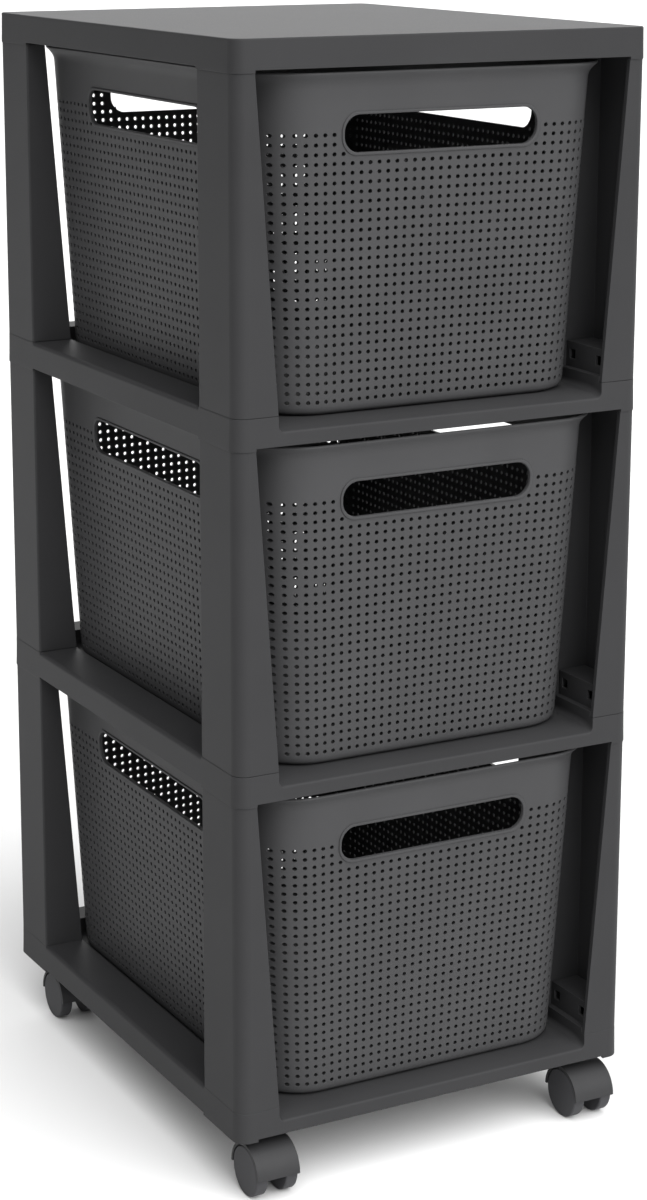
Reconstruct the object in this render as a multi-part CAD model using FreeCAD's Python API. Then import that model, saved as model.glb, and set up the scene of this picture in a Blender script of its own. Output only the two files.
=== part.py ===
import FreeCAD, Part
import math
import os

# Rolling drawer unit: cover, three tray shelves, twelve channel posts, three baskets, four casters.
# Millimetres, Z up, floor at zero, front toward -Y, centred on the whole outline.

# Outline and levels
unit_width = 330.7
unit_depth = 413.0
level_pitch = 254.3
cover_height = 20.8
level_names = ["base", "middle", "upper"]

# Shelves and cover
skirt_thick = 2.0
skirt_draft = 0.5
outline_radius = 10.5
plate_thick = 2.4
floor_height = 14.0
platform_step = 6.7
nose_depth = 20.0
nose_drop = 4.2
lip_radius = 2.0
platform_edge_radius = 3.0
riser_radius = 4.0
collar_drop = 2.0
stop_rise = 4.3
rear_ledge_depth = 24.5
cover_edge_radius = 1.2
rib_thick = 2.0
rib_clear = 2.0
lengthwise_ribs = 3
crosswise_ribs = 4

# Posts
post_depth = 57.2
post_wall = 3.6
post_top_width = 15.2
post_foot_width = 32.5
post_inset = 0.6
post_back_radius = 1.5
tenon_length = 10.0
tenon_setback = 1.2
fit_clear = 0.15

# Plugs that the posts stand over
plug_rise = 23.3
plug_wall = 2.2
ledge_depth = 4.8
window_size = 7.2
window_sill_rise = 10.6
window_spacing_share = 0.59

# Baskets
basket_side_clear = 4.8
basket_head_clear = 4.5
basket_front_setback = 18.6
basket_back_setback = 26.6
basket_lean_share = 0.048
basket_foot_radius = 39.0
basket_rim_radius = 43.0
basket_wall = 2.2
basket_floor = 2.4
inner_edge_radius = 3.8
edge_steps = 5
rim_height = 10.0
rim_flare = 5.0
rim_steps = 5
slot_drop = 41.0
rear_slot_lower = 1.4
slot_height = 26.0
slot_corner_share = 0.456
front_slot_length = 154.6
side_slot_length = 196.0
bead_width = 2.0
bead_proud = 0.9

# Casters
stem_side_setback = 28.25
stem_end_setback = 29.0
caster_trail = 16.0
wheel_radius = 18.85
wheel_width = 9.8
wheel_edge_radius = 1.4
wheel_boss_gap = 0.7
wheel_hood_gap = 0.5
hood_shell = 2.05
hood_side_cover = 0.2
hood_base_gap = 8.15
bracket_thick = 8.0
bracket_boss_radius = 6.0
axle_radius = 2.0
axle_end_cover = 1.5
axle_end_gap = 0.2
running_clear = 0.05
stem_radius = 4.0
stem_boss_wall = 2.5
stem_boss_length = 18.1
stem_foot_gap = 1.0
swivel_gap = 0.3
stem_flange_thick = 5.0
socket_wall = 3.5
socket_roof = 4.3

# One overrun serves every cut
overrun = 5.0

# Shelf and cover sizes that follow
inner_inset = skirt_thick + skirt_draft
platform_height = floor_height + platform_step
stop_height = platform_height + stop_rise
plug_height = platform_height + plug_rise
window_sill_height = platform_height + window_sill_rise
window_spacing = post_depth * window_spacing_share
channel_half = unit_width / 2 - post_inset - post_foot_width

# Post sizes that follow
post_length = level_pitch - platform_height - collar_drop
post_corner_radius = outline_radius - post_inset
post_bore_radius = post_corner_radius - post_wall

# Basket sizes that follow
basket_foot_half_width = channel_half - basket_side_clear
basket_height = level_pitch - floor_height - basket_head_clear
outer_edge_radius = inner_edge_radius + basket_wall
slot_middle_height = basket_height - slot_drop
slot_corner_radius = slot_height * slot_corner_share

# Caster sizes that follow
hood_radius = wheel_radius + wheel_hood_gap + hood_shell
base_edge_height = wheel_radius + hood_radius + hood_base_gap
stem_boss_radius = stem_radius + stem_boss_wall
stem_boss_top = base_edge_height - stem_flange_thick - swivel_gap
stem_boss_bottom = stem_boss_top - stem_boss_length
stem_grip_length = platform_height - plate_thick - socket_roof
wheel_inner_face = stem_boss_radius + wheel_boss_gap
wheel_outer_face = wheel_inner_face + wheel_width
hood_half_width = wheel_outer_face + hood_side_cover
axle_half_length = wheel_outer_face - axle_end_cover

# Places that follow
front_overhang = caster_trail + hood_radius - stem_end_setback
front_y = (front_overhang - unit_depth) / 2
back_y = front_y + unit_depth
middle_y = (front_y + back_y) / 2
basket_middle_y = middle_y + (basket_front_setback - basket_back_setback) / 2
left_x = -unit_width / 2
shelf_edges = [base_edge_height + level_pitch * step for step in range(len(level_names))]
cover_edge = base_edge_height + level_pitch * len(level_names)

UP = FreeCAD.Vector(0, 0, 1)
ALONG_X = FreeCAD.Vector(1, 0, 0)
ALONG_Y = FreeCAD.Vector(0, 1, 0)


def block(x_span, y_span, z_span):
    corner = FreeCAD.Vector(x_span[0], y_span[0], z_span[0])
    return Part.makeBox(x_span[1] - x_span[0], y_span[1] - y_span[0], z_span[1] - z_span[0], corner)


def rounded_wire(x_span, y_span, radius, z):
    """Rounded rectangle lying at height z."""
    diagonal = math.cos(math.pi / 4)
    corners = [(x_span[1], y_span[0], 1, -1), (x_span[1], y_span[1], 1, 1),
               (x_span[0], y_span[1], -1, 1), (x_span[0], y_span[0], -1, -1)]
    arcs = []
    for x, y, x_sign, y_sign in corners:
        centre = FreeCAD.Vector(x - x_sign * radius, y - y_sign * radius, z)
        end_on_x = centre + FreeCAD.Vector(x_sign * radius, 0, 0)
        end_on_y = centre + FreeCAD.Vector(0, y_sign * radius, 0)
        middle = centre + FreeCAD.Vector(x_sign, y_sign, 0) * (radius * diagonal)
        ends = (end_on_y, end_on_x) if x_sign * y_sign < 0 else (end_on_x, end_on_y)
        arcs.append((ends[0], middle, ends[1]))
    edges = []
    for index, (start, middle, end) in enumerate(arcs):
        edges.append(Part.Arc(start, middle, end).toShape())
        next_start = arcs[(index + 1) % len(arcs)][0]
        edges.append(Part.LineSegment(end, next_start).toShape())
    return Part.Wire(edges)


def outline_wire(inset, z):
    """The unit's plan outline at a height, drawn in by an inset."""
    return rounded_wire((left_x + inset, -left_x - inset), (front_y + inset, back_y - inset),
                        outline_radius - inset, z)


def outline_prism(inset, z_span):
    return Part.Face(outline_wire(inset, z_span[0])).extrude(UP * (z_span[1] - z_span[0]))


def drafted_outline(z_span):
    """Solid on the unit's plan outline that draws in by the skirts' draft on its way up."""
    return Part.makeLoft([outline_wire(0, z_span[0]), outline_wire(skirt_draft, z_span[1])], True, True)


def polygon_face(points):
    return Part.Face(Part.makePolygon(points + points[:1]))


def vertical_edges_at(shape, x, y):
    """Upright straight edges that start at one plan point."""
    chosen = []
    for edge in shape.Edges:
        ends = [vertex.Point for vertex in edge.Vertexes]
        if all(math.isclose(end.x, x, abs_tol=fit_clear) and math.isclose(end.y, y, abs_tol=fit_clear)
               for end in ends):
            chosen.append(edge)
    return chosen


def corner_block(x_span, y_span, z_span, radius):
    """Block with its outer upright edge, at the front left, rounded."""
    solid = block(x_span, y_span, z_span)
    return solid.makeFillet(radius, vertical_edges_at(solid, x_span[0], y_span[0]))


def at_each_corner(shape):
    """Copies of a front-left shape at the four corners, by name."""
    middle = FreeCAD.Vector(0, middle_y, 0)
    front_right = shape.mirror(middle, ALONG_X)
    return {
        "front_left": shape,
        "front_right": front_right,
        "rear_left": shape.mirror(middle, ALONG_Y),
        "rear_right": front_right.mirror(middle, ALONG_Y),
    }


def corner_collars(edge_z):
    """Outer walls that hang a little lower where the posts below end."""
    ring = outline_prism(0, (edge_z - collar_drop, edge_z))
    ring = ring.cut(outline_prism(inner_inset, (edge_z - collar_drop, edge_z)))
    reach_x = left_x + post_inset + post_top_width
    reach_y = front_y + post_inset + post_depth
    corner = block((left_x, reach_x), (front_y, reach_y), (edge_z - collar_drop, edge_z))
    return [ring.common(piece) for piece in at_each_corner(corner).values()]


def stiffening_ribs(edge_z, ceiling_z):
    """Thin walls under a plate, from skirt to skirt and clear of the corner sockets."""
    ribs = []
    low = edge_z + rib_clear
    end_x = unit_width / 2 - skirt_thick
    for step in range(lengthwise_ribs):
        x = -channel_half + 2 * channel_half * (step + 1) / (lengthwise_ribs + 1)
        ribs.append(block((x - rib_thick / 2, x + rib_thick / 2),
                          (front_y + skirt_thick, back_y - skirt_thick), (low, ceiling_z)))
    for step in range(crosswise_ribs):
        y = front_y + unit_depth * (step + 1) / (crosswise_ribs + 1)
        ribs.append(block((-end_x, end_x), (y - rib_thick / 2, y + rib_thick / 2), (low, ceiling_z)))
    return ribs


def channel_space(edge_z):
    """Space that a basket slides through, from the rolled front edge over the floor to the rear ledge."""
    floor_z = edge_z + floor_height
    stop_y = back_y - rear_ledge_depth
    top_z = edge_z + plug_height
    front_out = front_y - overrun
    nose_radius = (nose_depth ** 2 + nose_drop ** 2) / (2 * nose_drop)
    lip_rise = math.sqrt((nose_radius - lip_radius) ** 2 - (nose_depth - lip_radius) ** 2)
    lip_height = floor_height - nose_radius + lip_rise
    lip_y = front_y + skirt_draft * lip_height / platform_height
    nose_centre = FreeCAD.Vector(0, lip_y + nose_depth, floor_z - nose_radius)
    lip_centre = FreeCAD.Vector(0, lip_y + lip_radius, edge_z + lip_height)
    meeting_way = (lip_centre - nose_centre).normalize()
    nose_start = nose_centre + UP * nose_radius
    nose_middle = nose_centre + (UP + meeting_way).normalize() * nose_radius
    meeting = nose_centre + meeting_way * nose_radius
    lip_middle = lip_centre + (meeting_way - ALONG_Y).normalize() * lip_radius
    lip_end = lip_centre - ALONG_Y * lip_radius
    corners = [nose_start, FreeCAD.Vector(0, stop_y, floor_z), FreeCAD.Vector(0, stop_y, top_z),
               FreeCAD.Vector(0, front_out, top_z), FreeCAD.Vector(0, front_out, lip_end.z), lip_end]
    edges = [Part.LineSegment(start, end).toShape() for start, end in zip(corners, corners[1:])]
    edges.append(Part.Arc(lip_end, lip_middle, meeting).toShape())
    edges.append(Part.Arc(meeting, nose_middle, nose_start).toShape())
    channel = Part.Face(Part.Wire(edges)).extrude(ALONG_X * (2 * channel_half))
    channel.translate(ALONG_X * -channel_half)
    floor_sides = [edge for edge in channel.Edges
                   if all(math.isclose(vertex.Z, floor_z, abs_tol=fit_clear) for vertex in edge.Vertexes)
                   and math.isclose(abs(edge.CenterOfMass.x), channel_half, abs_tol=fit_clear)]
    return channel.makeFillet(riser_radius, floor_sides)


def shelf_hollows(edge_z):
    """Space under the floor, lower behind its rolled front edge and higher under the side platforms."""
    ceiling_z = edge_z + floor_height - plate_thick
    nose_backing = polygon_face([FreeCAD.Vector(left_x, front_y, ceiling_z - nose_drop),
                                 FreeCAD.Vector(left_x, front_y, ceiling_z),
                                 FreeCAD.Vector(left_x, front_y + nose_depth, ceiling_z)])
    under_floor = outline_prism(inner_inset, (edge_z - overrun, ceiling_z))
    under_floor = under_floor.cut(nose_backing.extrude(ALONG_X * unit_width))
    under_all = outline_prism(inner_inset, (edge_z, edge_z + platform_height - plate_thick))
    platform = block((left_x, -channel_half - plate_thick), (front_y, back_y),
                     (edge_z, edge_z + platform_height))
    under_platform = under_all.common(platform)
    return [under_floor, under_platform, under_platform.mirror(FreeCAD.Vector(0, 0, 0), ALONG_X)]


def platform_edge_cuts(edge_z):
    """Space outside the rounded outer edges of the platforms, from post to post."""
    low_z = edge_z + platform_height - platform_edge_radius
    y_span = (front_y + post_inset + post_depth, back_y - post_inset - post_depth)
    face_x = left_x + skirt_draft * (platform_height - platform_edge_radius) / platform_height
    axis_x = face_x + platform_edge_radius
    corner = block((left_x, axis_x), y_span, (low_z, edge_z + platform_height))
    rounding = Part.makeCylinder(platform_edge_radius, y_span[1] - y_span[0],
                                 FreeCAD.Vector(axis_x, y_span[0], low_z), ALONG_Y)
    left_cut = corner.cut(rounding)
    return [left_cut, left_cut.mirror(FreeCAD.Vector(0, 0, 0), ALONG_X)]


def rear_ledge(edge_z):
    """Raised ledge behind the basket, from platform to platform and open underneath."""
    y_span = (back_y - rear_ledge_depth, back_y - skirt_draft)
    z_span = (edge_z + floor_height - plate_thick, edge_z + stop_height)
    hollow = block((plate_thick - channel_half, channel_half - plate_thick),
                   (y_span[0] + plate_thick, back_y - inner_inset), (z_span[0], z_span[1] - plate_thick))
    return block((-channel_half, channel_half), y_span, z_span), hollow


def post_plug(edge_z):
    """Box open toward the outside, with windows toward the basket and an inner ledge, at the front left."""
    outer_x = left_x + post_inset + post_wall + fit_clear
    inner_x = -channel_half - ledge_depth
    near_y = front_y + post_inset + post_wall + fit_clear
    far_y = front_y + post_inset + post_depth - post_wall - fit_clear
    seat_z = edge_z + platform_height - plate_thick
    plug = corner_block((outer_x, inner_x), (near_y, far_y), (seat_z, edge_z + plug_height),
                        post_bore_radius)
    hollow = block((outer_x - overrun, inner_x - plug_wall), (near_y + post_bore_radius, far_y - plug_wall),
                   (edge_z + platform_height, edge_z + plug_height - plug_wall))
    plug = plug.cut(hollow)
    window_y = front_y + post_inset + post_depth / 2
    for side in (-1, 1):
        y = window_y + side * window_spacing / 2
        sill_z = edge_z + window_sill_height
        plug = plug.cut(block((inner_x - plug_wall - overrun / 2, inner_x + overrun),
                              (y - window_size / 2, y + window_size / 2), (sill_z, sill_z + window_size)))
    ledge = block((inner_x - plug_wall, -channel_half), (near_y, far_y), (seat_z, edge_z + stop_height))
    return plug.fuse(ledge)


def stem_socket(radius, z_span):
    """Upright cylinder on the axis of the front-left caster stem."""
    foot = FreeCAD.Vector(left_x + stem_side_setback, front_y + stem_end_setback, z_span[0])
    return Part.makeCylinder(radius, z_span[1] - z_span[0], foot, UP)


def make_shelf(edge_z):
    """Tray shelf: floor between raised side platforms, post plugs on top and caster sockets underneath."""
    plate_z = edge_z + platform_height - plate_thick
    bosses = at_each_corner(stem_socket(stem_radius + socket_wall, (edge_z, plate_z)))
    holes = at_each_corner(stem_socket(stem_radius, (edge_z - overrun, edge_z + stem_grip_length)))
    shelf = drafted_outline((edge_z, edge_z + platform_height)).cut(shelf_hollows(edge_z))
    ribs = stiffening_ribs(edge_z, edge_z + floor_height - plate_thick)
    shelf = shelf.fuse(list(bosses.values()) + ribs).cut(channel_space(edge_z))
    ledge, ledge_hollow = rear_ledge(edge_z)
    added = [ledge] + corner_collars(edge_z) + list(at_each_corner(post_plug(edge_z)).values())
    removed = [ledge_hollow] + list(holes.values()) + platform_edge_cuts(edge_z)
    return shelf.fuse(added).cut(removed).removeSplitter()


def make_cover():
    top_z = cover_edge + cover_height
    solid = drafted_outline((cover_edge, top_z))
    rim_edges = [edge for edge in solid.Edges
                 if all(math.isclose(vertex.Z, top_z, abs_tol=fit_clear) for vertex in edge.Vertexes)]
    solid = solid.makeFillet(cover_edge_radius, rim_edges)
    solid = solid.cut(outline_prism(inner_inset, (cover_edge - overrun, top_z - plate_thick)))
    ribs = stiffening_ribs(cover_edge, top_z - plate_thick)
    return solid.fuse(corner_collars(cover_edge) + ribs).removeSplitter()


def make_post(edge_z):
    """Front-left channel post on one shelf: flanges widen downwards, a tenon enters the piece above."""
    foot_z = edge_z + platform_height
    top_z = foot_z + post_length
    outer_x = left_x + post_inset
    outer_y = front_y + post_inset
    far_y = outer_y + post_depth
    side = [FreeCAD.Vector(outer_x, outer_y, foot_z),
            FreeCAD.Vector(outer_x + post_foot_width, outer_y, foot_z),
            FreeCAD.Vector(outer_x + post_top_width, outer_y, top_z),
            FreeCAD.Vector(outer_x, outer_y, top_z)]
    wedge = polygon_face(side).extrude(ALONG_Y * post_depth)
    wedge = wedge.makeFillet(post_corner_radius, vertical_edges_at(wedge, outer_x, outer_y))
    wedge = wedge.makeFillet(post_back_radius, vertical_edges_at(wedge, outer_x, far_y))
    tenon = corner_block((left_x + inner_inset + fit_clear, outer_x + post_top_width - tenon_setback),
                         (front_y + inner_inset + fit_clear, far_y - tenon_setback),
                         (top_z, top_z + tenon_length), outline_radius - inner_inset)
    inside = corner_block((outer_x + post_wall, outer_x + post_foot_width + overrun),
                          (outer_y + post_wall, far_y - post_wall),
                          (foot_z - overrun, top_z + tenon_length + overrun), post_bore_radius)
    return wedge.fuse(tenon).cut(inside).removeSplitter()


def basket_section(height, grow):
    """Plan outline of a basket wall at a height above its underside, grown outward."""
    spread = basket_lean_share * height + grow
    half = basket_foot_half_width + spread
    radius = basket_foot_radius + (basket_rim_radius - basket_foot_radius) * height / basket_height
    return ((-half, half),
            (front_y + basket_front_setback - spread, back_y - basket_back_setback + spread),
            radius + grow)


def basket_body(seat_z, grow, low, edge_radius):
    """Solid tub from a low height up to the rim, all faces moved outward by grow."""
    stations = []
    for step in range(edge_steps):
        angle = math.pi / 2 * step / edge_steps
        stations.append((low + edge_radius * (1 - math.cos(angle)),
                         grow - edge_radius * (1 - math.sin(angle))))
    stations.append((low + edge_radius, grow))
    rim_start = basket_height - rim_height
    for step in range(rim_steps + 1):
        part = step / rim_steps
        stations.append((rim_start + rim_height * part, grow + rim_flare * part ** 2))
    wires = []
    for height, offset in stations:
        x_span, y_span, radius = basket_section(height, offset)
        wires.append(rounded_wire(x_span, y_span, radius, seat_z + height))
    return Part.makeLoft(wires, True, True)


def obround_wire(length, height, radius, turn):
    """Upright rounded slot outline about the origin, across X or, turned, across Y."""
    wire = rounded_wire((-length / 2, length / 2), (-height / 2, height / 2), radius, 0)
    wire.rotate(FreeCAD.Vector(0, 0, 0), ALONG_X, 90)
    wire.rotate(FreeCAD.Vector(0, 0, 0), UP, turn)
    return wire


def slot_bars(seat_z, grow):
    """Prisms from a basket's middle out through its four handle slots, the rear one a little lower."""
    middle = FreeCAD.Vector(0, basket_middle_y, seat_z + slot_middle_height)
    bars = []
    for length, turn, way, lower in ((front_slot_length, 0, -ALONG_Y, 0),
                                     (front_slot_length, 0, ALONG_Y, rear_slot_lower),
                                     (side_slot_length, 90, -ALONG_X, 0),
                                     (side_slot_length, 90, ALONG_X, 0)):
        wire = obround_wire(length + 2 * grow, slot_height + 2 * grow, slot_corner_radius + grow, turn)
        bar = Part.Face(wire).extrude(way * unit_depth)
        bar.translate(middle - UP * lower)
        bars.append(bar)
    return bars


def make_basket(edge_z):
    """Tapered tub with a flared rim and a beaded handle slot in every wall."""
    seat_z = edge_z + floor_height
    outer = basket_body(seat_z, 0, 0, outer_edge_radius)
    inner = basket_body(seat_z, -basket_wall, basket_floor, inner_edge_radius)
    proud = basket_body(seat_z, bead_proud, 0, outer_edge_radius)
    tub = outer.cut(inner)
    for bead_bar, slot_bar in zip(slot_bars(seat_z, bead_width), slot_bars(seat_z, 0)):
        bead = proud.common(bead_bar).cut(inner)
        tub = tub.fuse(bead).cut(slot_bar)
    return tub.removeSplitter()


def disc(radius, x_span, y, z):
    return Part.makeCylinder(radius, x_span[1] - x_span[0], FreeCAD.Vector(x_span[0], y, z), ALONG_X)


def make_hood(x, y):
    """Curved cover over both wheels, with the bracket between them and the boss that turns on the stem."""
    axle_y = y - caster_trail
    half = hood_half_width
    bracket = (x - bracket_thick / 2, x + bracket_thick / 2)
    shell = disc(hood_radius, (x - half, x + half), axle_y, wheel_radius)
    shell = shell.cut(disc(hood_radius - hood_shell, (x - half, x + half), axle_y, wheel_radius))
    shell = shell.fuse(disc(hood_radius, bracket, axle_y, wheel_radius))
    lower_half = block((x - 2 * half, x + 2 * half), (axle_y - 2 * hood_radius, axle_y + 2 * hood_radius),
                       (-overrun, wheel_radius))
    hood = shell.cut(lower_half).fuse(disc(bracket_boss_radius, bracket, axle_y, wheel_radius))
    boss = Part.makeCylinder(stem_boss_radius, stem_boss_length,
                             FreeCAD.Vector(x, y, stem_boss_bottom), UP)
    bore = Part.makeCylinder(stem_radius + running_clear, stem_boss_length,
                             FreeCAD.Vector(x, y, stem_boss_bottom + plate_thick), UP)
    hood = hood.fuse(boss).cut(bore)
    return hood.cut(disc(axle_radius, bracket, axle_y, wheel_radius)).removeSplitter()


def make_stem(x, y):
    """Pin in the base corner, with a flange under the base and a foot that the hood turns on."""
    low = stem_boss_bottom + plate_thick + stem_foot_gap
    high = base_edge_height + stem_grip_length
    pin = Part.makeCylinder(stem_radius, high - low, FreeCAD.Vector(x, y, low), UP)
    flange = Part.makeCylinder(stem_boss_radius, stem_flange_thick,
                               FreeCAD.Vector(x, y, base_edge_height - stem_flange_thick), UP)
    return pin.fuse(flange).removeSplitter()


def make_axle(x, y):
    return disc(axle_radius, (x - axle_half_length, x + axle_half_length), y - caster_trail, wheel_radius)


def make_wheel(x, y, side):
    """One wheel of a pair, with a blind bore on the axle; side is -1 or 1 across the caster."""
    axle_y = y - caster_trail
    faces = sorted((x + side * wheel_inner_face, x + side * wheel_outer_face))
    wheel = disc(wheel_radius, faces, axle_y, wheel_radius)
    rims = [edge for edge in wheel.Edges if isinstance(edge.Curve, Part.Circle)]
    wheel = wheel.makeFillet(wheel_edge_radius, rims)
    bore_end = x + side * (axle_half_length + axle_end_gap)
    bore = sorted((x, bore_end))
    return wheel.cut(disc(axle_radius + running_clear, bore, axle_y, wheel_radius))


def make_caster(corner):
    """All pieces of one caster, by node name; every caster trails toward the front."""
    side = -1 if corner.endswith("left") else 1
    x = side * (unit_width / 2 - stem_side_setback)
    y = front_y + stem_end_setback if corner.startswith("front") else back_y - stem_end_setback
    name = "caster_" + corner
    return {
        name + "_stem": make_stem(x, y),
        name + "_hood": make_hood(x, y),
        name + "_axle": make_axle(x, y),
        name + "_wheel_left": make_wheel(x, y, -1),
        name + "_wheel_right": make_wheel(x, y, 1),
    }


def make_unit():
    """Every piece of the unit, by node name."""
    pieces = {"top_cover": make_cover()}
    for level, edge_z in zip(level_names, shelf_edges):
        pieces["shelf_" + level] = make_shelf(edge_z)
        pieces["basket_" + level] = make_basket(edge_z)
        for corner, post in at_each_corner(make_post(edge_z)).items():
            pieces["post_" + level + "_" + corner] = post
    for corner in ("front_left", "front_right", "rear_left", "rear_right"):
        pieces.update(make_caster(corner))
    return pieces


os.makedirs("parts", exist_ok=True)
for node, shape in make_unit().items():
    print(node, shape.isValid(), len(shape.Solids), round(shape.Volume))
    shape.exportStep("parts/" + node + ".step")
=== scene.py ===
import bmesh
import bpy
import math
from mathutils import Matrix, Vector


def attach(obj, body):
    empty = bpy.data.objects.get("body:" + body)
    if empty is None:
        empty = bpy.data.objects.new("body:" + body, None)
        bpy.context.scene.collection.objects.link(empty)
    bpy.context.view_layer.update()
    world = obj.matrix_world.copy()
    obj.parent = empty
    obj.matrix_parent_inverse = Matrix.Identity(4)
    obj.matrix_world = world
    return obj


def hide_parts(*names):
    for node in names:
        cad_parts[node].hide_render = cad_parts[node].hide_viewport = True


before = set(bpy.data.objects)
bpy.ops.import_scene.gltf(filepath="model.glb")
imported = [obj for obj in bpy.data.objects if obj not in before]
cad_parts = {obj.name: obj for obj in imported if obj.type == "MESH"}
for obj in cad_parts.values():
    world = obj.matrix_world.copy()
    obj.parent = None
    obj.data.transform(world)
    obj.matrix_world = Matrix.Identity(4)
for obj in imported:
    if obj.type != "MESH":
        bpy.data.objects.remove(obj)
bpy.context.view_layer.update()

# Sizes in metres
mm = 0.001
shelf_pitch = 254.3 * mm
level_names = ("base", "middle", "upper")

# Baskets
basket_height = 235.8 * mm
basket_half_width = 127.45 * mm
basket_half_depth = 183.9 * mm
basket_lean_share = 0.048
basket_corner_radius = 39.0 * mm
basket_wall = 2.2 * mm
basket_middle_y = 0.2 * mm
basket_seat_z = 62.4 * mm
rim_start_height = 225.8 * mm
rim_flare = 5.0 * mm
rim_steps = 4
rim_edge_radius = 0.9 * mm
floor_edge_radius = 6.0 * mm
floor_edge_steps = 4
corner_segments = 24
edge_segments = 2

# Holes in the basket walls
hole_rows = 29
row_pitch = 6.6 * mm
hole_radius = 1.55 * mm
hole_profile_share = 0.086
hole_segments = 2
lowest_row_edge = 6.5 * mm
grid_height = hole_rows * row_pitch
grid_top = lowest_row_edge + grid_height
front_columns = 37
front_column_pitch = 6.591 * mm
side_columns = 48

# Handle slots and their beads
slot_middle_height = 194.8 * mm
slot_height = 26.0 * mm
slot_corner_radius = 11.856 * mm
rear_slot_lower = 1.4 * mm
front_slot_length = 154.6 * mm
side_slot_length = 196.0 * mm
slot_hole_clear = 4.0 * mm
slot_points = 32
band_split_height = 213.0 * mm
bead_width = 2.0 * mm
bead_proud = 0.9 * mm
bead_sunk = 0.6 * mm
bead_round = 0.55 * mm

# Modelling: vertices closer than this are one, and edges sharper than this angle stay sharp
weld_distance = 0.15 * mm
smooth_angle = math.radians(35)

# Moulded plastics: tones are sRGB hex, and the grain is drawn coarser than the real one so that it shows
frame_tones = ("2d2d2e", "323233")
basket_tones = ("39393a", "404041")
hood_tones = ("2e2e2f", "333334")
wheel_tones = ("38383a", "3e3e40")
plastic_ior = 1.49
large_cloud = 60.0 * mm
small_cloud = 20.0 * mm
cloud_detail = 3.0
plastic_grain = 0.9 * mm
plastic_grain_detail = 2.0
plastic_grain_depth = 0.05 * mm
plastic_grain_strength = 0.25
smoother_grain = 0.05
rougher_grain = 0.07

# Worn edges: cosines of the edge's rounding where wear starts and is full, and its share of the paler tone
worn_tone = "8a8b8c"
worn_start_cosine = 0.98
worn_full_cosine = 0.75
worn_share = 0.12
frame_edge = 0.6 * mm
basket_edge = 0.4 * mm
caster_edge = 0.5 * mm
edge_samples = 4

# Painted shade in the holes: its reach, the openness where it is full and where it ends, and the tone that
# it leaves
hole_shade_reach = 4.0 * mm
hole_shade_samples = 6
hole_shade_full_share = 0.3
hole_shade_end_share = 0.8
hole_shade_tone_share = 0.4

# Painted shade line at the foot of the middle and upper posts, in the joint where they meet the shelf
foot_shade_tone = "1d1d1e"
foot_shade_width = 0.8 * mm
lowest_post_foot = 69.0 * mm

# Zinc plating
zinc_tones = ("8d9094", "b4b6b8")
zinc_line = 2.0 * mm
zinc_line_detail = 3.0
zinc_line_stretch = (1, 1, 12)
zinc_line_depth = 0.02 * mm
zinc_line_strength = 0.2
zinc_smoothest = 0.28
zinc_roughest = 0.45

# Studio floor
floor_size = 80.0
floor_tones = ("e2e2e2", "e5e5e5")
floor_cloud = 667.0 * mm
floor_roughness = 0.9
floor_shine = 0.1

# Studio light: cosines at a soft panel's core and edge, and each panel's direction and strength
studio_dimness = 0.02
panel_tone = "ffffff"
panel_core = 0.95
panel_edge = 0.7
studio_panels = [
    ((0.25, -0.92, 0.30), 2.6),
    ((0.1, -0.6, 0.8), 3.5),
    ((-0.45, -0.25, 0.86), 1.6),
    ((0.50, 0.84, 0.22), 2.05),
]

# Camera, fitted to the photograph
camera_place = (-0.95725, -1.77239, 0.93373)
camera_down = math.radians(12.921)
camera_turn = math.radians(27.964)
camera_lens = 79.88
camera_shift = (0.02775, -0.0916)
camera_sight = 200.0


# Modelling helpers

def choose(piece, kind, test):
    """Selects the vertices, edges or faces of a piece in edit mode whose own data and middle pass a test."""
    bpy.ops.mesh.select_mode(type=kind)
    bpy.ops.mesh.select_all(action="DESELECT")
    shape = bmesh.from_edit_mesh(piece.data)
    elements = {"VERT": shape.verts, "EDGE": shape.edges, "FACE": shape.faces}[kind]
    for element in elements:
        if kind == "VERT":
            middle = element.co
        elif kind == "EDGE":
            middle = (element.verts[0].co + element.verts[1].co) / 2
        else:
            middle = element.calc_center_median()
        if test(element, middle):
            element.select_set(True)
    shape.select_flush_mode()
    bmesh.update_edit_mesh(piece.data)


def apply_modifier(piece, kind, **settings):
    modifier = piece.modifiers.new(kind.title(), kind)
    for name, value in settings.items():
        setattr(modifier, name, value)
    bpy.context.view_layer.objects.active = piece
    bpy.ops.object.modifier_apply(modifier=modifier.name)


def apply_place(piece):
    """Puts a piece's place, turn and scale into its mesh and leaves it alone selected."""
    bpy.ops.object.select_all(action="DESELECT")
    piece.select_set(True)
    bpy.context.view_layer.objects.active = piece
    bpy.ops.object.transform_apply(location=True, rotation=True, scale=True)


def copy_of(piece):
    twin = piece.copy()
    twin.data = piece.data.copy()
    bpy.context.collection.objects.link(twin)
    return twin


def join(pieces):
    bpy.ops.object.select_all(action="DESELECT")
    for piece in pieces:
        piece.select_set(True)
    bpy.context.view_layer.objects.active = pieces[0]
    bpy.ops.object.join()
    return pieces[0]


def at(value, target):
    return abs(value - target) < weld_distance


# Baskets

def growth(height, half):
    """How many times wider the tapered basket is at a height than at its underside, for one half size."""
    return 1 + basket_lean_share * height / half


def slot_distance(along, height, length):
    """How far a place on a wall lies outside the outline of a slot of this length."""
    across = max(0, abs(along) - (length / 2 - slot_corner_radius))
    rise = max(0, abs(height - slot_middle_height) - (slot_height / 2 - slot_corner_radius))
    return math.hypot(across, rise) - slot_corner_radius


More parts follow.
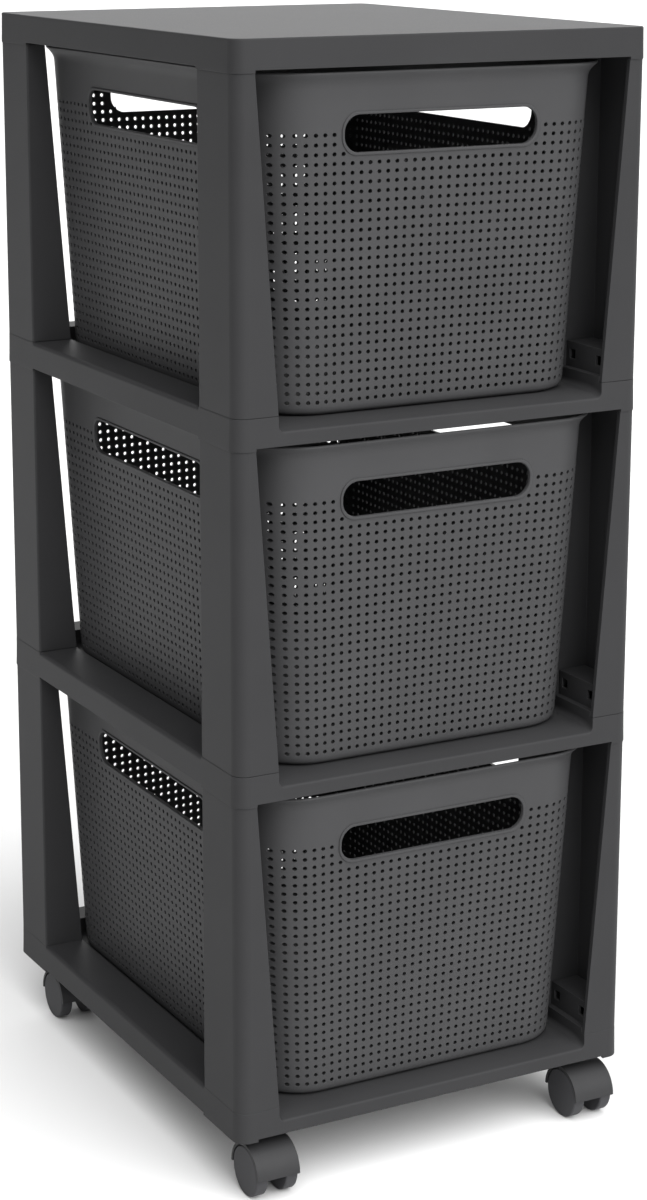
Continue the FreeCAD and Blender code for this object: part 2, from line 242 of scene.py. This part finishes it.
def make_mould():
    """Plain tapered tub that the flat walls are laid on."""
    bpy.ops.mesh.primitive_cube_add(size=1, location=(0, 0, basket_height / 2))
    mould = bpy.context.object
    mould.scale = (2 * basket_half_width, 2 * basket_half_depth, basket_height)
    apply_place(mould)
    bpy.ops.object.mode_set(mode="EDIT")
    choose(mould, "EDGE", lambda edge, middle: at(middle.z, basket_height / 2))
    bpy.ops.mesh.bevel(offset=basket_corner_radius, segments=corner_segments, affect="EDGES")
    choose(mould, "VERT", lambda vertex, middle: at(middle.z, basket_height))
    spread = [growth(basket_height, half) for half in (basket_half_width, basket_half_depth)]
    bpy.ops.transform.resize(value=(*spread, 1), center_override=(0, 0, basket_height))
    bpy.ops.object.mode_set(mode="OBJECT")
    return mould


def add_slot_circle():
    bpy.ops.mesh.primitive_circle_add(vertices=slot_points, radius=slot_corner_radius,
                                      location=(0, 0, slot_middle_height),
                                      rotation=(math.pi / 2, math.pi / slot_points, 0))


def draw_slot(piece, length):
    """Pulls a loose circle about the slot's middle out to the slot's outline."""
    pulls = [(0, length / 2 - slot_corner_radius), (2, slot_height / 2 - slot_corner_radius)]
    middles = (0, 0, slot_middle_height)
    for axis, shift in pulls:
        for side in (-1, 1):
            move = [0, 0, 0]
            move[axis] = side * shift
            choose(piece, "VERT", lambda vertex, place: not vertex.link_faces
                   and (place[axis] - middles[axis]) * side > 0)
            bpy.ops.transform.translate(value=move)


def add_wall_grid(columns, column_pitch):
    """Flat grid of one cell per hole in X and Z, with two plain bands above it, left in edit mode."""
    bpy.ops.mesh.primitive_grid_add(x_subdivisions=columns, y_subdivisions=hole_rows, size=1,
                                    location=(0, 0, lowest_row_edge + grid_height / 2),
                                    rotation=(math.pi / 2, 0, 0))
    wall = bpy.context.object
    wall.scale = (columns * column_pitch, grid_height, 1)
    apply_place(wall)
    bpy.ops.object.mode_set(mode="EDIT")
    choose(wall, "EDGE", lambda edge, middle: at(middle.z, grid_top))
    for rise in (band_split_height - grid_top, rim_start_height - band_split_height):
        bpy.ops.mesh.extrude_edges_move(TRANSFORM_OT_translate={"value": (0, 0, rise)})
    return wall


def open_slot(wall, inner_x, half, slot_length):
    """Puts a plain zone with the slot's opening in place of the cells about it."""
    def in_slot_zone(face, middle):
        height = min(middle.z, grid_top - row_pitch / 2)
        along = middle.x * growth(height, half)
        return middle.z < band_split_height and slot_distance(along, height, slot_length) < slot_hole_clear

    choose(wall, "FACE", in_slot_zone)
    bpy.ops.mesh.delete(type="FACE")
    add_slot_circle()
    draw_slot(wall, slot_length)
    choose(wall, "VERT", lambda vertex, middle: not vertex.link_faces)
    bpy.ops.transform.resize(value=(1 / growth(slot_middle_height, half), 1, 1),
                             center_override=(0, 0, slot_middle_height))
    choose(wall, "EDGE", lambda edge, middle: edge.is_wire or (
        edge.is_boundary and abs(middle.x) < inner_x
        and lowest_row_edge + row_pitch / 2 < middle.z < (band_split_height + rim_start_height) / 2))
    bpy.ops.mesh.fill()


def open_holes(wall):
    """Opens a small round hole in the middle of every cell that is left."""
    choose(wall, "FACE", lambda face, middle: len(face.verts) == 4 and middle.z < grid_top)
    bpy.ops.mesh.poke()
    choose(wall, "VERT", lambda vertex, middle: not vertex.is_boundary and len(vertex.link_edges) == 4
           and all(len(face.verts) == 3 for face in vertex.link_faces))
    bpy.ops.mesh.bevel(offset=hole_radius, segments=hole_segments, profile=hole_profile_share,
                       affect="VERTICES")
    bpy.ops.mesh.delete(type="FACE")


def make_flat_wall(columns, column_pitch, half, slot_length):
    """One wall laid flat at the width of its foot: a plain zone round the slot, holes elsewhere."""
    wall = add_wall_grid(columns, column_pitch)
    open_slot(wall, (columns - 1) * column_pitch / 2, half, slot_length)
    open_holes(wall)
    bpy.ops.object.mode_set(mode="OBJECT")
    return wall


def lay_on_mould(flat_wall, mould, half, turn):
    """Fans a copy of a flat wall out with height, turns it to its side and presses it on the mould."""
    wall = copy_of(flat_wall)
    apply_modifier(wall, "SIMPLE_DEFORM", deform_method="TAPER", deform_axis="Z", lock_y=True,
                   factor=basket_lean_share / half * (rim_start_height - lowest_row_edge))
    outside = 2 * basket_half_depth
    wall.location = (outside * math.sin(turn), -outside * math.cos(turn), 0)
    wall.rotation_euler = (0, 0, turn)
    apply_place(wall)
    sideways = abs(math.sin(turn)) > abs(math.cos(turn))
    apply_modifier(wall, "SHRINKWRAP", target=mould, wrap_method="PROJECT", use_project_x=sideways,
                   use_project_y=not sideways, use_negative_direction=True, use_positive_direction=True)
    return wall


def lower_rear_slot(wall):
    """Draws the outline of the rear wall's slot down along the leaning wall."""
    bpy.ops.object.mode_set(mode="EDIT")
    choose(wall, "VERT", lambda vertex, middle: vertex.is_boundary
           and abs(slot_distance(middle.x, middle.z, front_slot_length)) < slot_hole_clear / 2)
    bpy.ops.transform.translate(value=(0, -basket_lean_share * rear_slot_lower, -rear_slot_lower))
    bpy.ops.object.mode_set(mode="OBJECT")


def draw_edge_on(piece, height, rise, spread):
    """Draws the selected edge loop up or down from a height and spreads it outward."""
    chosen = [vertex.co for vertex in bmesh.from_edit_mesh(piece.data).verts if vertex.select]
    half_width = max(place.x for place in chosen)
    half_depth = max(place.y for place in chosen)
    bpy.ops.mesh.extrude_edges_move(TRANSFORM_OT_translate={"value": (0, 0, rise)})
    bpy.ops.transform.resize(value=(1 + spread / half_width, 1 + spread / half_depth, 1),
                             center_override=(0, 0, height + rise))


def draw_rim(tub):
    """Carries the top edge of the walls up into the flared rim."""
    choose(tub, "EDGE", lambda edge, middle: edge.is_boundary and at(middle.z, rim_start_height))
    rise = (basket_height - rim_start_height) / rim_steps
    for step in range(rim_steps):
        flare = rim_flare * ((step + 1) ** 2 - step ** 2) / rim_steps ** 2
        draw_edge_on(tub, rim_start_height + step * rise, rise, basket_lean_share * rise + flare)


def round_rim(tub):
    """Rounds both edges of the finished rim."""
    bpy.ops.object.mode_set(mode="EDIT")
    choose(tub, "EDGE", lambda edge, middle: edge.calc_face_angle(0) > smooth_angle
           and middle.z > basket_height - basket_wall)
    bpy.ops.mesh.bevel(offset=rim_edge_radius, segments=edge_segments, affect="EDGES")
    bpy.ops.object.mode_set(mode="OBJECT")


def draw_floor(tub):
    """Rounds the foot of the walls inward and closes it with the floor."""
    choose(tub, "EDGE", lambda edge, middle: edge.is_boundary and at(middle.z, lowest_row_edge))
    height = lowest_row_edge
    for step in range(floor_edge_steps):
        start, end = (math.pi / 2 * (step + offset) / floor_edge_steps for offset in (0, 1))
        rise = lowest_row_edge * (math.sin(start) - math.sin(end))
        draw_edge_on(tub, height, rise, floor_edge_radius * (math.cos(end) - math.cos(start)))
        height += rise
    bpy.ops.mesh.edge_face_add()


def make_bead(length, half, turn, lower=0):
    """Low rounded lip round one handle slot, leaning with its wall."""
    bpy.ops.object.select_all(action="DESELECT")
    add_slot_circle()
    bead = bpy.context.object
    apply_place(bead)
    bpy.ops.object.mode_set(mode="EDIT")
    draw_slot(bead, length)
    bpy.ops.mesh.select_all(action="SELECT")
    bpy.ops.mesh.extrude_edges_move(TRANSFORM_OT_translate={"value": (0, 0, 0)})
    bpy.ops.transform.resize(value=(1 + 2 * bead_width / length, 1, 1 + 2 * bead_width / slot_height),
                             center_override=(0, 0, slot_middle_height))
    bpy.ops.mesh.select_all(action="SELECT")
    bpy.ops.mesh.extrude_region_move(TRANSFORM_OT_translate={"value": (0, -bead_proud - bead_sunk, 0)})
    bpy.ops.mesh.select_all(action="SELECT")
    bpy.ops.mesh.normals_make_consistent(inside=False)
    bpy.ops.transform.translate(value=(0, bead_sunk, -slot_middle_height))
    choose(bead, "EDGE", lambda edge, middle: edge.calc_face_angle(0) > smooth_angle and middle.y < 0)
    bpy.ops.mesh.bevel(offset=bead_round, segments=edge_segments, affect="EDGES")
    bpy.ops.object.mode_set(mode="OBJECT")
    height = slot_middle_height - lower
    reach = half + basket_lean_share * height
    bead.location = (reach * math.sin(turn), -reach * math.cos(turn), height)
    bead.rotation_euler = (math.atan(basket_lean_share), 0, turn)
    apply_place(bead)
    return bead


def make_walls():
    """The four perforated walls, front first and then round by the right, and the beads of their slots."""
    mould = make_mould()
    foot_reach = front_columns * front_column_pitch / 2 - basket_half_width + basket_corner_radius
    corner_reach = math.sqrt(basket_corner_radius ** 2 - foot_reach ** 2)
    side_reach = basket_half_depth - basket_corner_radius + corner_reach
    front = make_flat_wall(front_columns, front_column_pitch, basket_half_width, front_slot_length)
    side = make_flat_wall(side_columns, 2 * side_reach / side_columns, basket_half_depth, side_slot_length)
    front_turn, right_turn, rear_turn, left_turn = (quarter * math.pi / 2 for quarter in range(4))
    walls = [lay_on_mould(front, mould, basket_half_width, front_turn),
             lay_on_mould(side, mould, basket_half_depth, right_turn),
             lay_on_mould(front, mould, basket_half_width, rear_turn)]
    lower_rear_slot(walls[-1])
    walls.append(lay_on_mould(side, mould, basket_half_depth, left_turn))
    beads = [make_bead(front_slot_length, basket_half_depth, front_turn),
             make_bead(side_slot_length, basket_half_width, right_turn),
             make_bead(front_slot_length, basket_half_depth, rear_turn, rear_slot_lower),
             make_bead(side_slot_length, basket_half_width, left_turn)]
    for helper in (mould, front, side):
        bpy.data.objects.remove(helper)
    return walls, beads


def make_basket():
    """The lowest basket: four perforated walls with beaded slots, flared rim, rounded foot and floor."""
    bpy.ops.object.select_all(action="DESELECT")
    walls, beads = make_walls()
    tub = join(walls)
    bpy.ops.object.mode_set(mode="EDIT")
    bpy.ops.mesh.select_all(action="SELECT")
    bpy.ops.mesh.remove_doubles(threshold=weld_distance)
    draw_rim(tub)
    draw_floor(tub)
    bpy.ops.object.mode_set(mode="OBJECT")
    apply_modifier(tub, "SOLIDIFY", thickness=basket_wall, offset=-1, use_even_offset=True)
    round_rim(tub)
    basket = join([tub, *beads])
    basket.location = (0, basket_middle_y, basket_seat_z)
    apply_place(basket)
    bpy.ops.object.shade_smooth_by_angle(angle=smooth_angle)
    return basket


def place_baskets(material):
    """One basket on each shelf, standing for that level's plain solid."""
    first = make_basket()
    first.data.materials.clear()
    first.data.materials.append(material)
    for step, level in enumerate(level_names):
        basket = copy_of(first) if step else first
        basket.name = "perforated_basket_" + level
        basket.location = (0, 0, step * shelf_pitch)
        apply_place(basket)
        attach(basket, "basket_" + level)
        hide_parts("basket_" + level)


# Materials

def linear(colour):
    """Linear colour of an sRGB hex value such as 3a3b3c."""
    parts = [int(colour[start:start + 2], 16) / 255 for start in (0, 2, 4)]
    return [part / 12.92 if part <= 0.04045 else ((part + 0.055) / 1.055) ** 2.4 for part in parts] + [1]


def add_node(tree, kind, values=None, links=None, **settings):
    """Adds one shader node with its settings, constant inputs and incoming links."""
    node = tree.nodes.new(kind)
    for name, value in settings.items():
        setattr(node, name, value)
    for socket, value in (values or {}).items():
        node.inputs[socket].default_value = value
    for socket, source in (links or {}).items():
        tree.links.new(source, node.inputs[socket])
    return node


def new_material(name):
    material = bpy.data.materials.new(name)
    material.use_nodes = True
    material.node_tree.nodes.clear()
    return material, material.node_tree


def painted_hole_shade(tree, tone):
    """Paints shade into a tone where other faces stand close before it, as in the small holes of a wall."""
    openness = add_node(tree, "ShaderNodeAmbientOcclusion", {"Distance": hole_shade_reach},
                        samples=hole_shade_samples).outputs["AO"]
    span = {"From Min": hole_shade_full_share, "From Max": hole_shade_end_share,
            "To Min": hole_shade_tone_share}
    dimmed = add_node(tree, "ShaderNodeMapRange", span, {"Value": openness}).outputs["Result"]
    return add_node(tree, "ShaderNodeMix", {"Factor": 1.0}, {"A": tone, "B": dimmed},
                    data_type="RGBA", blend_type="MULTIPLY").outputs["Result"]


def painted_foot_shade(tree, tone):
    """Thin painted shade line along the foot of a post, in the joint where it meets the shelf."""
    place = add_node(tree, "ShaderNodeTexCoord").outputs["Object"]
    height = add_node(tree, "ShaderNodeSeparateXYZ", None, {"Vector": place}).outputs["Z"]
    above = add_node(tree, "ShaderNodeMath", {1: lowest_post_foot}, {0: height}, operation="SUBTRACT")
    in_level = add_node(tree, "ShaderNodeMath", {1: shelf_pitch}, {0: above.outputs["Value"]},
                        operation="FLOORED_MODULO")
    line = add_node(tree, "ShaderNodeMath", {1: foot_shade_width}, {0: in_level.outputs["Value"]},
                    operation="LESS_THAN").outputs["Value"]
    return add_node(tree, "ShaderNodeMix", {"B": linear(foot_shade_tone)}, {"Factor": line, "A": tone},
                    data_type="RGBA").outputs["Result"]


def moulded_plastic(name, tones, roughness, shine, cloud, edge, shade=None):
    """Spark-eroded moulding: broad tone clouds, a fine grain and softly worn, slightly paler edges."""
    material, tree = new_material(name)
    dark, pale = tones
    place = add_node(tree, "ShaderNodeTexCoord").outputs["Object"]
    clouds = add_node(tree, "ShaderNodeTexNoise", {"Scale": 1 / cloud, "Detail": cloud_detail},
                      {"Vector": place}).outputs["Fac"]
    grain = add_node(tree, "ShaderNodeTexNoise",
                     {"Scale": 1 / plastic_grain, "Detail": plastic_grain_detail},
                     {"Vector": place}).outputs["Fac"]
    tone = add_node(tree, "ShaderNodeMix", {"A": linear(dark), "B": linear(pale)}, {"Factor": clouds},
                    data_type="RGBA").outputs["Result"]
    rounded = add_node(tree, "ShaderNodeBevel", {"Radius": edge}, samples=edge_samples).outputs["Normal"]
    flat = add_node(tree, "ShaderNodeNewGeometry").outputs["Normal"]
    facing = add_node(tree, "ShaderNodeVectorMath", None, {0: rounded, 1: flat},
                      operation="DOT_PRODUCT").outputs["Value"]
    span = {"From Min": worn_start_cosine, "From Max": worn_full_cosine, "To Max": worn_share}
    worn = add_node(tree, "ShaderNodeMapRange", span, {"Value": facing}).outputs["Result"]
    colour = add_node(tree, "ShaderNodeMix", {"B": linear(worn_tone)}, {"Factor": worn, "A": tone},
                      data_type="RGBA").outputs["Result"]
    # Painted shade, for the finishes that ask for it
    if shade:
        colour = shade(tree, colour)
    gloss = add_node(tree, "ShaderNodeMapRange",
                     {"To Min": roughness - smoother_grain, "To Max": roughness + rougher_grain},
                     {"Value": grain}).outputs["Result"]
    bump = add_node(tree, "ShaderNodeBump",
                    {"Strength": plastic_grain_strength, "Distance": plastic_grain_depth},
                    {"Height": grain, "Normal": rounded}).outputs["Normal"]
    surface = add_node(tree, "ShaderNodeBsdfPrincipled", {"IOR": plastic_ior, "Specular IOR Level": shine},
                       {"Base Color": colour, "Roughness": gloss, "Normal": bump})
    add_node(tree, "ShaderNodeOutputMaterial", None, {"Surface": surface.outputs["BSDF"]})
    return material


def frame_plastic():
    """Moulded polypropylene of the cover, shelves and lowest posts: dark grey, matt and even."""
    return moulded_plastic("moulded_polypropylene_frame", frame_tones, roughness=0.5, shine=0.1,
                           cloud=large_cloud, edge=frame_edge)


def post_plastic():
    """The same plastic for the middle and upper posts, with a painted shade line in the joint at their foot.
    """
    return moulded_plastic("moulded_polypropylene_posts", frame_tones, roughness=0.5, shine=0.1,
                           cloud=large_cloud, edge=frame_edge, shade=painted_foot_shade)


def basket_plastic():
    """Moulded polypropylene of the baskets: a paler grey, a little glossier, with painted shade in the
    holes.
    """
    return moulded_plastic("moulded_polypropylene_basket", basket_tones, roughness=0.45, shine=0.1,
                           cloud=large_cloud, edge=basket_edge, shade=painted_hole_shade)


def hood_plastic():
    """Moulded nylon of the caster hoods: dark grey with a slightly firmer sheen."""
    return moulded_plastic("moulded_nylon_hoods", hood_tones, roughness=0.45, shine=0.12,
                           cloud=small_cloud, edge=caster_edge)


def wheel_plastic():
    """Moulded nylon of the wheels: a paler, matt grey."""
    return moulded_plastic("moulded_nylon_wheels", wheel_tones, roughness=0.5, shine=0.12,
                           cloud=small_cloud, edge=caster_edge)


def zinc_plated_steel():
    """Turned and zinc-plated pins: bright grey metal with fine level lines and cloudy plating."""
    material, tree = new_material("zinc_plated_steel")
    dark, pale = zinc_tones
    place = add_node(tree, "ShaderNodeTexCoord").outputs["Object"]
    stretched = add_node(tree, "ShaderNodeMapping", {"Scale": zinc_line_stretch},
                         {"Vector": place}).outputs["Vector"]
    lines = add_node(tree, "ShaderNodeTexNoise", {"Scale": 1 / zinc_line, "Detail": zinc_line_detail},
                     {"Vector": stretched}).outputs["Fac"]
    tone = add_node(tree, "ShaderNodeMix", {"A": linear(dark), "B": linear(pale)}, {"Factor": lines},
                    data_type="RGBA").outputs["Result"]
    gloss = add_node(tree, "ShaderNodeMapRange", {"To Min": zinc_smoothest, "To Max": zinc_roughest},
                     {"Value": lines}).outputs["Result"]
    bump = add_node(tree, "ShaderNodeBump", {"Strength": zinc_line_strength, "Distance": zinc_line_depth},
                    {"Height": lines}).outputs["Normal"]
    surface = add_node(tree, "ShaderNodeBsdfPrincipled", {"Metallic": 1.0},
                       {"Base Color": tone, "Roughness": gloss, "Normal": bump})
    add_node(tree, "ShaderNodeOutputMaterial", None, {"Surface": surface.outputs["BSDF"]})
    return material


def studio_floor_paint():
    """Pale matt studio floor with hardly any tone of its own."""
    material, tree = new_material("studio_floor_paint")
    dark, pale = floor_tones
    place = add_node(tree, "ShaderNodeTexCoord").outputs["Object"]
    clouds = add_node(tree, "ShaderNodeTexNoise", {"Scale": 1 / floor_cloud},
                      {"Vector": place}).outputs["Fac"]
    tone = add_node(tree, "ShaderNodeMix", {"A": linear(dark), "B": linear(pale)}, {"Factor": clouds},
                    data_type="RGBA").outputs["Result"]
    surface = add_node(tree, "ShaderNodeBsdfPrincipled",
                       {"Roughness": floor_roughness, "Specular IOR Level": floor_shine},
                       {"Base Color": tone})
    add_node(tree, "ShaderNodeOutputMaterial", None, {"Surface": surface.outputs["BSDF"]})
    return material


def dress(node_name, material):
    """Gives a CAD node its material and leaves its mesh alone."""
    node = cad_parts[node_name]
    node.data.materials.clear()
    node.data.materials.append(material)


def dress_nodes():
    """Every CAD node gets the finish of its kind of piece."""
    frame_finish = frame_plastic()
    post_finish = post_plastic()
    hood_finish = hood_plastic()
    wheel_finish = wheel_plastic()
    pin_finish = zinc_plated_steel()
    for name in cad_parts:
        if name.endswith(("stem", "axle")):
            dress(name, pin_finish)
        elif name.endswith("hood"):
            dress(name, hood_finish)
        elif "wheel" in name:
            dress(name, wheel_finish)
        elif name.startswith(("post_middle", "post_upper")):
            dress(name, post_finish)
        else:
            dress(name, frame_finish)


# Studio

def add_floor():
    bpy.ops.object.select_all(action="DESELECT")
    bpy.ops.mesh.primitive_plane_add(size=floor_size)
    floor = bpy.context.object
    floor.name = "studio_floor"
    floor.data.materials.append(studio_floor_paint())


def add_surroundings():
    """Dim surroundings with four soft panels: front, above the front, upper left, low behind the right."""
    world = bpy.data.worlds.new("studio_surroundings")
    bpy.context.scene.world = world
    world.use_nodes = True
    tree = world.node_tree
    tree.nodes.clear()
    way = add_node(tree, "ShaderNodeTexCoord").outputs["Generated"]
    brightness = None
    for direction, strength in studio_panels:
        facing = add_node(tree, "ShaderNodeVectorMath", {1: Vector(direction).normalized()}, {0: way},
                          operation="DOT_PRODUCT").outputs["Value"]
        span = {"From Min": panel_edge, "From Max": panel_core, "To Max": strength}
        panel = add_node(tree, "ShaderNodeMapRange", span, {"Value": facing},
                         interpolation_type="SMOOTHSTEP").outputs["Result"]
        if brightness is None:
            brightness = add_node(tree, "ShaderNodeMath", {1: studio_dimness}, {0: panel}).outputs["Value"]
        else:
            brightness = add_node(tree, "ShaderNodeMath", None, {0: panel, 1: brightness}).outputs["Value"]
    background = add_node(tree, "ShaderNodeBackground", {"Color": linear(panel_tone)},
                          {"Strength": brightness})
    add_node(tree, "ShaderNodeOutputWorld", None, {"Surface": background.outputs["Background"]})


def add_studio():
    bpy.context.scene.view_settings.view_transform = "Standard"
    add_surroundings()
    add_floor()


def add_camera():
    scene = bpy.context.scene
    camera = bpy.data.objects.new("photo_camera", bpy.data.cameras.new("photo_camera"))
    camera.location = camera_place
    camera.rotation_euler = (math.pi / 2 - camera_down, 0, -camera_turn)
    camera.data.lens = camera_lens
    camera.data.shift_x, camera.data.shift_y = camera_shift
    camera.data.clip_end = camera_sight
    scene.collection.objects.link(camera)
    scene.camera = camera


dress_nodes()
place_baskets(basket_plastic())
add_studio()
add_camera()
